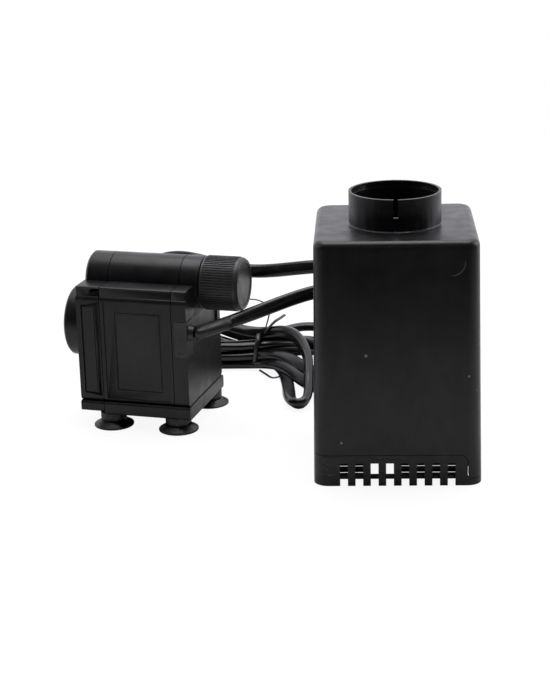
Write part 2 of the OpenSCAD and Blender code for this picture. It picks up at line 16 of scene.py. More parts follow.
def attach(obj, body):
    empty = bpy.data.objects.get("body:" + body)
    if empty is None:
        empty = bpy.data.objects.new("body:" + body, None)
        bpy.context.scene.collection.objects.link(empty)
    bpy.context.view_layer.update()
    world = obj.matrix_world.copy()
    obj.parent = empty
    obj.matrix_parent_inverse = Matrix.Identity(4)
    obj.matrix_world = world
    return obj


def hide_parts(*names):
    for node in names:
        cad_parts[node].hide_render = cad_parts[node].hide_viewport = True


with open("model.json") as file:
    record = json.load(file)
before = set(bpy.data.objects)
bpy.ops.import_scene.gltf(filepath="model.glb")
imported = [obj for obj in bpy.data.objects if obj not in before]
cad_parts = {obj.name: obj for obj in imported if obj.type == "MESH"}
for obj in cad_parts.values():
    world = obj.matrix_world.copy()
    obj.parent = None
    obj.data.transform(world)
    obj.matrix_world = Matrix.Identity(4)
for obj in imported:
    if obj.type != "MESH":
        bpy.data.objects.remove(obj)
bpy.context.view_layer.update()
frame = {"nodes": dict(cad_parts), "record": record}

# ---------------------------------------------------------------- camera

LENS_MM = 88.7
CAMERA_AZIMUTH = 2.8
CAMERA_ELEVATION = 17.1
CAMERA_ROLL = -1.4
CAMERA_DISTANCE = 0.8965
CAMERA_TARGET = Vector((0.0192, -0.0787, 0.0934))
CAMERA_SHIFT = (-0.0196, -0.0257)


def make_camera():
    """A long lens in front of the strainer housing, a little above it."""
    data = bpy.data.cameras.new("camera")
    data.lens = LENS_MM
    data.shift_x, data.shift_y = CAMERA_SHIFT
    camera = bpy.data.objects.new("camera", data)
    bpy.context.collection.objects.link(camera)
    azimuth, elevation = math.radians(CAMERA_AZIMUTH), math.radians(CAMERA_ELEVATION)
    back = Vector((
        math.sin(azimuth) * math.cos(elevation),
        -math.cos(azimuth) * math.cos(elevation),
        math.sin(elevation),
    ))
    turn = (-back).to_track_quat("-Z", "Y").to_matrix()
    roll = Matrix.Rotation(math.radians(CAMERA_ROLL), 3, back)
    place = Matrix.Translation(CAMERA_TARGET + back * CAMERA_DISTANCE)
    camera.matrix_world = place @ (roll @ turn).to_4x4()
    bpy.context.scene.camera = camera


# ---------------------------------------------------------------- mains lead

LEAD_THICKNESS = 0.0056
LEAD_WIDTH = 0.0082
LEAD_SQUARENESS = 2.6
LEAD_SIDES = 20
LEAD_STEP = 0.0025
LEAD_REST = 0.0033
LEAD_EASE = 10
SLEEVE_POINTS = 10
SLEEVE_SWELL = (1.14, 1.01)
SETTLE_ROUNDS = 50
TIE_CENTRE = Vector((-0.0125, 0.1337, 0.0122))
TIE_HALF_WIDTH = 0.0142
TIE_HALF_HEIGHT = 0.0120
TIE_WIDTH = 0.0028
TIE_THICKNESS = 0.0005
TIE_LEAN_DEGREES = 8
TIE_SQUARENESS = 0.65
TIE_STEP = 0.001

# out of the gland, behind the strainer housing and down to the floor
FROM_PUMP = (
    (-0.040, 0.0065, 0.062), (-0.023, 0.009, 0.0665), (-0.008, 0.0115, 0.0715),
    (0.0095, 0.0155, 0.077), (0.029, 0.0215, 0.0825), (0.052, 0.0225, 0.085),
    (0.074, 0.026, 0.079), (0.094, 0.036, 0.061), (0.106, 0.054, 0.036),
    (0.104, 0.076, 0.014), (0.094, 0.098, 0.005), (0.084, 0.118, 0.0035),
    (0.070, 0.136, 0.0035), (0.056, 0.146, 0.0035),
)
# the turns of the hank: each goes left at the back, round, and right again at the front
FIRST_TURN = (
    (0.032, 0.151, 0.0035), (0.012, 0.151, 0.0035), (-0.001, 0.147, 0.0035),
    (-0.012, 0.143, 0.0035), (-0.024, 0.144, 0.0035), (-0.038, 0.149, 0.0035),
    (-0.060, 0.156, 0.005), (-0.080, 0.157, 0.009), (-0.094, 0.152, 0.011),
    (-0.100, 0.139, 0.012), (-0.094, 0.1265, 0.011), (-0.080, 0.1215, 0.009),
    (-0.060, 0.122, 0.005), (-0.036, 0.125, 0.0035), (-0.024, 0.126, 0.0035),
    (-0.012, 0.1255, 0.0035), (-0.004, 0.122, 0.0045), (0.003, 0.113, 0.007),
    (0.010, 0.101, 0.0088), (0.018, 0.082, 0.0088), (0.030, 0.064, 0.0070),
    (0.046, 0.055, 0.0045), (0.063, 0.061, 0.004), (0.073, 0.077, 0.004),
    (0.073, 0.097, 0.004), (0.065, 0.116, 0.004), (0.050, 0.131, 0.0045),
    (0.034, 0.140, 0.006), (0.016, 0.145, 0.009),
)
SECOND_TURN = (
    (0.002, 0.145, 0.0095), (-0.012, 0.1425, 0.009), (-0.024, 0.144, 0.0095),
    (-0.038, 0.149, 0.0100), (-0.060, 0.154, 0.012), (-0.078, 0.154, 0.015),
    (-0.090, 0.149, 0.017), (-0.0945, 0.138, 0.0175), (-0.090, 0.127, 0.017),
    (-0.078, 0.122, 0.015), (-0.058, 0.1215, 0.011), (-0.034, 0.123, 0.0095),
    (-0.023, 0.1245, 0.009), (-0.012, 0.126, 0.009), (-0.004, 0.123, 0.0105),
    (0.003, 0.115, 0.0125), (0.010, 0.105, 0.0135), (0.019, 0.088, 0.0130),
    (0.032, 0.071, 0.0120), (0.046, 0.065, 0.0110), (0.059, 0.071, 0.0110),
    (0.067, 0.086, 0.0118), (0.066, 0.101, 0.0118), (0.058, 0.116, 0.0118),
    (0.046, 0.128, 0.0125), (0.030, 0.137, 0.0145), (0.016, 0.141, 0.0165),
)
THIRD_TURN = (
    (0.002, 0.138, 0.0135), (-0.012, 0.1345, 0.0095), (-0.024, 0.136, 0.012),
    (-0.038, 0.142, 0.015), (-0.056, 0.150, 0.018), (-0.072, 0.1525, 0.021),
    (-0.083, 0.148, 0.022), (-0.0875, 0.137, 0.022), (-0.083, 0.126, 0.022),
    (-0.072, 0.1215, 0.021), (-0.054, 0.121, 0.018), (-0.034, 0.123, 0.0165),
    (-0.023, 0.126, 0.0155), (-0.012, 0.1285, 0.0150), (-0.002, 0.128, 0.0165),
    (0.010, 0.124, 0.0195), (0.021, 0.113, 0.0220), (0.034, 0.098, 0.0225),
    (0.048, 0.091, 0.0205), (0.061, 0.095, 0.0195), (0.067, 0.108, 0.0195),
    (0.062, 0.122, 0.0195), (0.050, 0.133, 0.0205), (0.034, 0.141, 0.0230),
    (0.018, 0.145, 0.0245),
)
# the turn that stands up at the left and comes down over the tie into the fallen loop
FOURTH_TURN = (
    (0.002, 0.142, 0.020), (-0.012, 0.1375, 0.0150), (-0.024, 0.140, 0.0175),
    (-0.038, 0.146, 0.021), (-0.058, 0.153, 0.027), (-0.080, 0.153, 0.031),
    (-0.091, 0.1485, 0.033), (-0.095, 0.138, 0.034), (-0.091, 0.1275, 0.034),
    (-0.080, 0.123, 0.0335), (-0.060, 0.1245, 0.033), (-0.042, 0.128, 0.031),
    (-0.032, 0.1295, 0.0285), (-0.022, 0.131, 0.0245),
)
FALLEN_LOOP = (
    (-0.012, 0.1315, 0.0210), (-0.004, 0.130, 0.0235), (0.004, 0.127, 0.0268),
    (0.012, 0.121, 0.0275), (0.0185, 0.111, 0.0250), (0.0225, 0.097, 0.0195),
    (0.0245, 0.080, 0.0130), (0.0255, 0.060, 0.0068), (0.0240, 0.044, 0.0040),
    (0.0183, 0.0365, 0.0035), (0.0130, 0.044, 0.0035), (0.0120, 0.057, 0.0035),
    (0.0110, 0.072, 0.0035), (0.0100, 0.085, 0.0035), (0.008, 0.100, 0.0035),
    (0.004, 0.115, 0.0035), (-0.003, 0.127, 0.0035), (-0.012, 0.1335, 0.0035),
)
# out at the left end, up behind the pump, over to the right and down to the plug
TO_PLUG = (
    (-0.024, 0.135, 0.0035), (-0.040, 0.138, 0.0035), (-0.062, 0.140, 0.0035),
    (-0.084, 0.140, 0.0035), (-0.100, 0.139, 0.0035), (-0.112, 0.131, 0.005),
    (-0.114, 0.116, 0.014), (-0.109, 0.102, 0.032), (-0.099, 0.092, 0.052),
    (-0.087, 0.085, 0.071), (-0.074, 0.079, 0.086), (-0.060, 0.070, 0.0925),
    (-0.046, 0.062, 0.0935), (-0.028, 0.054, 0.0895), (-0.010, 0.048, 0.0878),
    (0.009, 0.042, 0.0900), (0.028, 0.036, 0.0940), (0.052, 0.0305, 0.0955),
    (0.078, 0.034, 0.090), (0.103, 0.044, 0.073), (0.117, 0.062, 0.046),
    (0.120, 0.086, 0.020), (0.114, 0.108, 0.008), (0.108, 0.122, 0.0069),
)
# how far the broad side is turned up from flat, in degrees, at distances along the lead
LEAD_ROLLS = (
    (0.00, -10), (0.03, -45), (0.08, -75), (0.14, -60), (0.20, -20), (0.26, 0),
    (0.56, -20), (0.60, -60), (0.68, -60), (0.73, 0),
    (0.99, -20), (1.03, -60), (1.09, -60), (1.14, 0),
    (1.37, -20), (1.41, -60), (1.46, -60), (1.50, 0),
    (1.70, -20), (1.74, -75), (1.82, -75), (1.87, 0),
    (2.06, 0), (2.14, -60), (2.32, -60), (2.42, 0),
)
TIE_TAIL = (
    (0.004, 0.103, 0.0016), (-0.001, 0.102, 0.0012), (-0.006, 0.110, 0.0012),
    (-0.010, 0.1175, 0.0012),
)
TIE_TWIST = (
    (-0.009, 0.130, 0.0185), (-0.005, 0.1275, 0.026), (0.000, 0.1275, 0.0315),
    (0.004, 0.130, 0.0335), (0.0065, 0.133, 0.0345),
)
TIE_END = (
    (-0.009, 0.131, 0.0185), (-0.005, 0.134, 0.030), (-0.004, 0.137, 0.036),
    (-0.007, 0.140, 0.0405), (-0.012, 0.140, 0.043), (-0.017, 0.140, 0.0436),
)


def smooth_line(points, step):
    """Evenly spaced points along a smooth curve through the given points."""
    points = [np.array(p) for p in points]
    padded = [2 * points[0] - points[1], *points, 2 * points[-1] - points[-2]]
    dense = []
    for a, b, c, d in zip(padded, padded[1:], padded[2:], padded[3:]):
        for t in np.linspace(0, 1, 24, endpoint=False):
            dense.append(0.5 * (
                2 * b + (c - a) * t + (2 * a - 5 * b + 4 * c - d) * t ** 2
                + (3 * b - a - 3 * c + d) * t ** 3
            ))
    return evenly_spaced(np.array([*dense, points[-1]]), step)


def evenly_spaced(line, step):
    """The same line with its points at equal distances."""
    along = np.concatenate([[0], np.cumsum(np.linalg.norm(np.diff(line, axis=0), axis=1))])
    places = np.linspace(0, along[-1], max(2, round(along[-1] / step) + 1))
    return np.column_stack([np.interp(places, along, line[:, k]) for k in range(3)])


def part_strands(line):
    """Moves the strands of a flat lead apart where they lie in each other, and off the floor."""
    order = np.arange(len(line))
    near = round(2.5 * LEAD_WIDTH / LEAD_STEP)
    apart = np.abs(order[:, None] - order[None, :]) > near
    in_tie = np.abs(line[:, 0] - TIE_CENTRE.x) < LEAD_STEP
    held = in_tie | (order < 4) | (order > len(line) - 5)
    places = line.copy()
    reach = np.array([LEAD_WIDTH, LEAD_WIDTH, LEAD_THICKNESS])
    for _ in range(SETTLE_ROUNDS):
        between = (line[:, None, :] - line[None, :, :]) / reach
        distance = np.linalg.norm(between, axis=2)
        lack = np.where(apart & (distance < 1), 1 - distance, 0)
        push = between * (lack / np.maximum(distance, 1e-6) * 0.3)[:, :, None]
        line = line + push.sum(axis=1) * reach
        line[1:-1] += 0.12 * (line[:-2] + line[2:] - 2 * line[1:-1])
        line[:, 2] = np.maximum(line[:, 2], LEAD_REST)
        line[held] = places[held]
    line[LEAD_EASE:-LEAD_EASE] = eased(line, LEAD_EASE // 2)[LEAD_EASE:-LEAD_EASE]
    return evenly_spaced(line, LEAD_STEP)


def eased(values, reach):
    """Each row averaged with the rows near it."""
    padded = np.concatenate([np.repeat(values[:1], reach, 0), values, np.repeat(values[-1:], reach, 0)])
    width = 2 * reach + 1
    return np.stack([padded[k:k + len(values)] for k in range(width)]).sum(axis=0) / width


def unit(rows):
    return rows / np.linalg.norm(rows, axis=1)[:, None]


def broad_sides(line, rolls):
    """The direction of the broad side of a flat lead at each point of its line."""
    ahead = unit(np.gradient(line, axis=0))
    side = np.cross(ahead, (0, 0, 1))
    for k in range(1, len(side)):
        if side[k] @ side[k - 1] < 0:
            side[k] = -side[k]
    side = eased(side, LEAD_EASE)
    side = unit(side - (side * ahead).sum(axis=1)[:, None] * ahead)
    up = np.cross(side, ahead)
    metres, degrees = zip(*rolls)
    angle = np.radians(np.interp(np.arange(len(line)) * LEAD_STEP, metres, degrees))[:, None]
    return np.cos(angle) * side + np.sin(angle) * up, np.cos(angle) * up - np.sin(angle) * side


def link_mesh(name, mesh):
    """Puts a finished mesh in the scene as a smooth object."""
    data = bpy.data.meshes.new(name)
    bmesh.ops.recalc_face_normals(mesh, faces=mesh.faces)
    mesh.to_mesh(data)
    mesh.free()
    data.shade_smooth()
    made = bpy.data.objects.new(name, data)
    bpy.context.collection.objects.link(made)
    return made


def flat_tube(name, line, width, thickness, rolls=((0, 0),), swell=(1.0, 1.0)):
    """A flat tube with round edges along a line, whose section swells from one end to the other."""
    side, up = broad_sides(line, rolls)
    power = 2 / LEAD_SQUARENESS
    turns = [2 * math.pi * k / LEAD_SIDES for k in range(LEAD_SIDES)]
    section = [
        (math.copysign(abs(math.cos(t)) ** power, math.cos(t)) * width / 2,
         math.copysign(abs(math.sin(t)) ** power, math.sin(t)) * thickness / 2)
        for t in turns
    ]
    mesh = bmesh.new()
    rings = []
    for place, a, b, size in zip(line, side, up, np.linspace(*swell, len(line))):
        rings.append([mesh.verts.new(place + size * (x * a + y * b)) for x, y in section])
    for first, second in zip(rings, rings[1:]):
        for k in range(LEAD_SIDES):
            after = (k + 1) % LEAD_SIDES
            mesh.faces.new((first[k], first[after], second[after], second[k]))
    mesh.faces.new(rings[0])
    mesh.faces.new(rings[-1])
    return link_mesh(name, mesh)


def tie_band(name):
    """The flat strap of the tie, once round the hank."""
    mesh = bmesh.new()
    ring = bmesh.ops.create_circle(mesh, segments=56, radius=1)["verts"]
    for vert in ring:
        vert.co = [math.copysign(abs(c) ** TIE_SQUARENESS, c) for c in vert.co]
    across = Matrix.Diagonal((TIE_HALF_HEIGHT, TIE_HALF_WIDTH, 1, 1))
    upright = Matrix.Rotation(math.radians(-90), 4, "Y")
    lean = Matrix.Rotation(math.radians(TIE_LEAN_DEGREES), 4, "Y")
    place = Matrix.Translation(TIE_CENTRE - Vector((TIE_WIDTH / 2, 0, 0)))
    bmesh.ops.transform(mesh, matrix=place @ lean @ upright @ across, verts=ring)
    wall = bmesh.ops.extrude_edge_only(mesh, edges=mesh.edges[:])["geom"]
    far_side = [part for part in wall if isinstance(part, bmesh.types.BMVert)]
    bmesh.ops.translate(mesh, vec=(TIE_WIDTH, 0, 0), verts=far_side)
    bmesh.ops.recalc_face_normals(mesh, faces=mesh.faces)
    bmesh.ops.solidify(mesh, geom=mesh.faces[:], thickness=TIE_THICKNESS)
    return link_mesh(name, mesh)


def make_lead():
    """The whole mains lead on one line, and the wire tie round its hank."""
    route = FROM_PUMP + FIRST_TURN + SECOND_TURN + THIRD_TURN + FOURTH_TURN + FALLEN_LOOP + TO_PLUG
    line = part_strands(smooth_line(route, LEAD_STEP))
    lead = flat_tube("mains_lead", line, LEAD_WIDTH, LEAD_THICKNESS, LEAD_ROLLS)
    sleeve = flat_tube(
        "lead_sleeve", line[:SLEEVE_POINTS], LEAD_WIDTH, LEAD_THICKNESS, LEAD_ROLLS, SLEEVE_SWELL)
    band = tie_band("tie_band")
    ties = [
        band,
        flat_tube("tie_tail", smooth_line(TIE_TAIL, TIE_STEP), 0.0016, 0.0009),
        flat_tube("tie_twist", smooth_line(TIE_TWIST, TIE_STEP), 0.0030, 0.0014, swell=(1.2, 0.8)),
        flat_tube("tie_end", smooth_line(TIE_END, TIE_STEP), 0.0010, 0.0008),
    ]
    for piece in (lead, sleeve, *ties):
        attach(piece, "pump")
    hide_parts("lead_from_pump", "lead_hank", "lead_loop", "lead_to_plug")
    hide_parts("twist_tie")
    return lead, sleeve, ties


# ---------------------------------------------------------------- shader groups


def shader_group(name, inputs, outputs):
    """A new shader group with plain number sockets, and its two end nodes."""
    group = bpy.data.node_groups.new(name, "ShaderNodeTree")
    for socket, value in inputs.items():
        made = group.interface.new_socket(socket, in_out="INPUT", socket_type="NodeSocketFloat")
        made.default_value = value
    for socket in outputs:
        group.interface.new_socket(socket, in_out="OUTPUT", socket_type="NodeSocketFloat")
    return group, group.nodes.new("NodeGroupInput"), group.nodes.new("NodeGroupOutput")


def maths(tree, operation, first, second):
    """A Math node fed by sockets or numbers."""
    node = tree.nodes.new("ShaderNodeMath")
    node.operation = operation
    for socket, value in zip(node.inputs, (first, second)):
        if isinstance(value, (int, float)):
            socket.default_value = value
        else:
            tree.links.new(value, socket)
    return node.outputs["Value"]


def spread(tree, value, low, high, to_low, to_high):
    """A Map Range node that stays inside its limits."""
    node = tree.nodes.new("ShaderNodeMapRange")
    tree.links.new(value, node.inputs["Value"])
    for socket, limit in (("From Min", low), ("From Max", high), ("To Min", to_low), ("To Max", to_high)):
        if isinstance(limit, (int, float)):
            node.inputs[socket].default_value = limit
        else:
            tree.links.new(limit, node.inputs[socket])
    return node.outputs["Result"]


def noise(tree, scale, detail=2.0, stretch=(1, 1, 1), turn=(0, 0, 0)):
    """Noise over the piece, at so many waves a metre."""
    place = tree.nodes.new("ShaderNodeTexCoord").outputs["Object"]
    mapping = tree.nodes.new("ShaderNodeMapping")
    mapping.inputs["Scale"].default_value = stretch
    mapping.inputs["Rotation"].default_value = turn
    texture = tree.nodes.new("ShaderNodeTexNoise")
    texture.inputs["Scale"].default_value = scale
    texture.inputs["Detail"].default_value = detail
    tree.links.new(place, mapping.inputs["Vector"])
    tree.links.new(mapping.outputs["Vector"], texture.inputs["Vector"])
    return texture.outputs["Fac"]


def make_moulded_surface():
    """Fine tool texture, slow waves of shrinkage and patches that are more or less polished."""
    group, start, end = shader_group(
        "moulded_surface", {"Grain": 0.5, "Waves": 0.5, "Smooth": 0.25, "Rough": 0.4}, ("Height", "Roughness"),
    )
    grain = maths(group, "MULTIPLY", noise(group, 1500, 3), start.outputs["Grain"])
    waves = maths(group, "MULTIPLY", noise(group, 55, 1), start.outputs["Waves"])
    group.links.new(maths(group, "ADD", grain, waves), end.inputs["Height"])
    patches = spread(
        group, noise(group, 130, 4), 0.35, 0.65, start.outputs["Smooth"], start.outputs["Rough"])
    group.links.new(patches, end.inputs["Roughness"])
    return group


def make_handling_marks():
    """Specks of dust, thin scratches and rubbed patches, as masks."""
    group, start, end = shader_group(
        "handling_marks", {"Dust": 0.5, "Scratches": 0.5}, ("Dust", "Scratches", "Film"),
    )
    cells = group.nodes.new("ShaderNodeTexVoronoi")
    cells.inputs["Scale"].default_value = 240
    coordinates = group.nodes.new("ShaderNodeTexCoord")
    group.links.new(coordinates.outputs["Object"], cells.inputs["Vector"])
    size = spread(group, cells.outputs["Color"], 0.55, 1.0, 0.0, 0.085)
    specks = maths(group, "LESS_THAN", cells.outputs["Distance"], size)
    places = spread(group, noise(group, 38, 3), 0.42, 0.62, 0.0, 1.0)
    dust = maths(group, "MULTIPLY", specks, places)
    group.links.new(maths(group, "MULTIPLY", dust, start.outputs["Dust"]), end.inputs["Dust"])
    lines = 0.0
    for turn in ((0.3, 0.5, 0.2), (1.1, -0.4, 0.9), (-0.6, 1.3, 0.4)):
        strand = noise(group, 22, 1, stretch=(1, 14, 14), turn=turn)
        thin = spread(group, maths(group, "ABSOLUTE", maths(group, "SUBTRACT", strand, 0.5), 0.0), 0.0, 0.0035, 1.0, 0.0)
        lines = maths(group, "MAXIMUM", thin, lines)
    worn = spread(group, noise(group, 30, 2), 0.5, 0.64, 0.0, 1.0)
    scratches = maths(group, "MULTIPLY", maths(group, "MULTIPLY", lines, worn), start.outputs["Scratches"])
    group.links.new(scratches, end.inputs["Scratches"])
    smear = spread(group, noise(group, 75, 5, stretch=(1, 1, 0.45)), 0.45, 0.75, 0.0, 1.0)
    group.links.new(maths(group, "MULTIPLY", smear, start.outputs["Dust"]), end.inputs["Film"])
    return group


# ---------------------------------------------------------------- materials

DUST_COLOUR = (0.42, 0.41, 0.40, 1)
SCRATCH_COLOUR = (0.16, 0.16, 0.165, 1)
FILM_SHARE = 0.03
PLASTIC_LEVEL = 0.3

moulded_surface = make_moulded_surface()
handling_marks = make_handling_marks()


def new_material(name, colour, metallic=0.0):
    """A material with its shader and its colour set."""
    material = bpy.data.materials.new(name)
    material.use_nodes = True
    shader = material.node_tree.nodes["Principled BSDF"]
    shader.inputs["Base Color"].default_value = (*colour, 1)
    shader.inputs["Metallic"].default_value = metallic
    return material, shader


def use_group(tree, group, values):
    node = tree.nodes.new("ShaderNodeGroup")
    node.node_tree = group
    for socket, value in values.items():
        node.inputs[socket].default_value = value
    return node


def tinted(tree, colour, other, mask):
    """One colour over another where the mask says."""
    mix = tree.nodes.new("ShaderNodeMix")
    mix.data_type = "RGBA"
    tree.links.new(mask, mix.inputs["Factor"])
    for socket, value in ((mix.inputs[6], colour), (mix.inputs[7], other)):
        if isinstance(value, tuple):
            socket.default_value = value
        else:
            tree.links.new(value, socket)
    return mix.outputs[2]


def bumped(tree, shader, height, depth):
    bump = tree.nodes.new("ShaderNodeBump")
    bump.inputs["Distance"].default_value = depth
    tree.links.new(height, bump.inputs["Height"])
    tree.links.new(bump.outputs["Normal"], shader.inputs["Normal"])
    return bump


def moulding(name, colour, smooth, rough, grain=0.4, waves=0.8, dust=0.5, scratches=0.5, depth=0.00012, level=0.5):
    """A moulded plastic or rubber that has been handled."""
    material, shader = new_material(name, colour)
    tree = material.node_tree
    shader.inputs["Specular IOR Level"].default_value = level
    surface = use_group(tree, moulded_surface, {
        "Grain": grain, "Waves": waves, "Smooth": smooth, "Rough": rough})
    marks = use_group(tree, handling_marks, {"Dust": dust, "Scratches": scratches})
    film = maths(tree, "MULTIPLY", marks.outputs["Film"], FILM_SHARE)
    dull = tinted(tree, (*colour, 1), DUST_COLOUR, film)
    scratched = tinted(tree, dull, SCRATCH_COLOUR, marks.outputs["Scratches"])
    dusty = tinted(tree, scratched, DUST_COLOUR, marks.outputs["Dust"])
    tree.links.new(dusty, shader.inputs["Base Color"])
    roughness = maths(tree, "ADD", surface.outputs["Roughness"], maths(tree, "MULTIPLY", marks.outputs["Dust"], 0.4))
    tree.links.new(roughness, shader.inputs["Roughness"])
    bumped(tree, shader, surface.outputs["Height"], depth)
    return material


def near_point(tree, centre, radius):
    """A mask of a small round spot at a place on the piece."""
    coordinates = tree.nodes.new("ShaderNodeTexCoord")
    distance = tree.nodes.new("ShaderNodeVectorMath")
    distance.operation = "DISTANCE"
    distance.inputs[1].default_value = centre
    tree.links.new(coordinates.outputs["Object"], distance.inputs[0])
    return spread(tree, distance.outputs["Value"], radius * 0.7, radius, 1.0, 0.0), distance.outputs["Value"]


def housing_moulding(name, colour, smooth, rough):
    """The strainer housing: its moulding, with the knocks and long scratch on the front."""
    material = moulding(name, colour, smooth, rough, grain=0.25, waves=1.0, dust=0.5, scratches=0.05, level=PLASTIC_LEVEL)
    tree = material.node_tree
    shader = tree.nodes["Principled BSDF"]
    base = shader.inputs["Base Color"].links[0].from_socket
    marks = 0.0
    for centre, radius in KNOCKS:
        spot, _ = near_point(tree, centre, radius)
        marks = maths(tree, "MAXIMUM", spot, marks)
    _, from_middle = near_point(tree, SCRATCH_MIDDLE, SCRATCH_RADIUS)
    ring = maths(tree, "ABSOLUTE", maths(tree, "SUBTRACT", from_middle, SCRATCH_RADIUS), 0.0)
    line = spread(tree, ring, SCRATCH_HALF_WIDTH * 0.5, SCRATCH_HALF_WIDTH, 0.7, 0.0)
    here, _ = near_point(tree, SCRATCH_PLACE, SCRATCH_REACH)
    marks = maths(tree, "MAXIMUM", maths(tree, "MULTIPLY", line, here), marks)
    marked = tinted(tree, base, SCRATCH_COLOUR, marks)
    tree.links.new(marked, shader.inputs["Base Color"])
    return material


def banded(name, colour, other, spacing, axis, smooth, metallic=1.0, depth=0.0002):
    """A stack of sheets or a wound wire: fine bands across one axis."""
    material, shader = new_material(name, colour, metallic)
    tree = material.node_tree
    coordinates = tree.nodes.new("ShaderNodeTexCoord")
    bands = tree.nodes.new("ShaderNodeTexWave")
    bands.bands_direction = axis
    bands.inputs["Scale"].default_value = 0.314 / spacing
    bands.inputs["Distortion"].default_value = 0.4
    tree.links.new(coordinates.outputs["Object"], bands.inputs["Vector"])
    patches = noise(tree, 160, 4)
    toned = tinted(tree, (*colour, 1), (*other, 1), maths(tree, "MULTIPLY", bands.outputs["Fac"], patches))
    tree.links.new(toned, shader.inputs["Base Color"])
    tree.links.new(spread(tree, patches, 0.3, 0.7, smooth, smooth + 0.2), shader.inputs["Roughness"])
    bumped(tree, shader, bands.outputs["Fac"], depth)
    return material


def plain_metal(name, colour, smooth, rough):
    """Plated or turned metal with light tool marks and tarnish."""
    material, shader = new_material(name, colour, 1.0)
    tree = material.node_tree
    surface = use_group(tree, moulded_surface, {
        "Grain": 0.6, "Waves": 0.3, "Smooth": smooth, "Rough": rough})
    marks = use_group(tree, handling_marks, {"Dust": 0.2, "Scratches": 0.8})
    worn = tinted(tree, (*colour, 1), (*(c * 0.45 for c in colour), 1), marks.outputs["Film"])
    tree.links.new(tinted(tree, worn, (0.9, 0.9, 0.88, 1), marks.outputs["Scratches"]), shader.inputs["Base Color"])
    tree.links.new(surface.outputs["Roughness"], shader.inputs["Roughness"])
    bumped(tree, shader, surface.outputs["Height"], 0.00005)
    return material


# marks on the front of the strainer housing
KNOCKS = (
    ((0.0603, -0.0776, 0.0746), 0.0010), ((0.0465, -0.0782, 0.0250), 0.0009),
    ((0.1155, -0.0777, 0.0626), 0.0008),
)
SCRATCH_MIDDLE = (0.1059, -0.0770, 0.1256)
SCRATCH_PLACE = (0.1113, -0.0770, 0.1208)
SCRATCH_RADIUS = 0.0072
SCRATCH_HALF_WIDTH = 0.0003
SCRATCH_REACH = 0.0065


# ---------------------------------------------------------------- hard pieces

# the edge radius of each moulding that gets rounded edges
ROUNDED = {
    "motor_housing": 0.0005, "front_cover": 0.0006, "rear_cover": 0.0005, "foot_base": 0.0008,
    "housing_shell": 0.0005, "housing_base": 0.0004, "cable_gland": 0.0006,
    "cup_front_left": 0.0004, "cup_front_right": 0.0004, "cup_back_left": 0.0004,
    "cup_back_right": 0.0004, "intake_ring": 0.0004, "base_grid": 0.0003,
}
EDGE_ANGLE_DEGREES = 32
MERGE_DISTANCE = 0.000002


def rounded_copy(node, radius, body):
    """A merged copy of a moulding, with its sharp edges rounded."""
    mesh = bmesh.new()
    mesh.from_mesh(frame["nodes"][node].data)
    bmesh.ops.remove_doubles(mesh, verts=mesh.verts, dist=MERGE_DISTANCE)
    bmesh.ops.recalc_face_normals(mesh, faces=mesh.faces)
    bmesh.ops.dissolve_limit(mesh, angle_limit=math.radians(0.5), verts=mesh.verts, edges=mesh.edges)
    piece = link_mesh(node + "_moulding", mesh)
    bevel = piece.modifiers.new("round_edges", "BEVEL")
    bevel.width = radius
    bevel.segments = 2
    bevel.limit_method = "ANGLE"
    bevel.angle_limit = math.radians(EDGE_ANGLE_DEGREES)
    bevel.harden_normals = True
    piece.data.set_sharp_from_angle(angle=math.radians(EDGE_ANGLE_DEGREES))
    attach(piece, body)
    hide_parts(node)
    return piece


def dress(piece, material):
    """Gives a piece its material in every slot."""
    if not piece.data.materials:
        piece.data.materials.append(material)
    for slot in piece.material_slots:
        slot.material = material


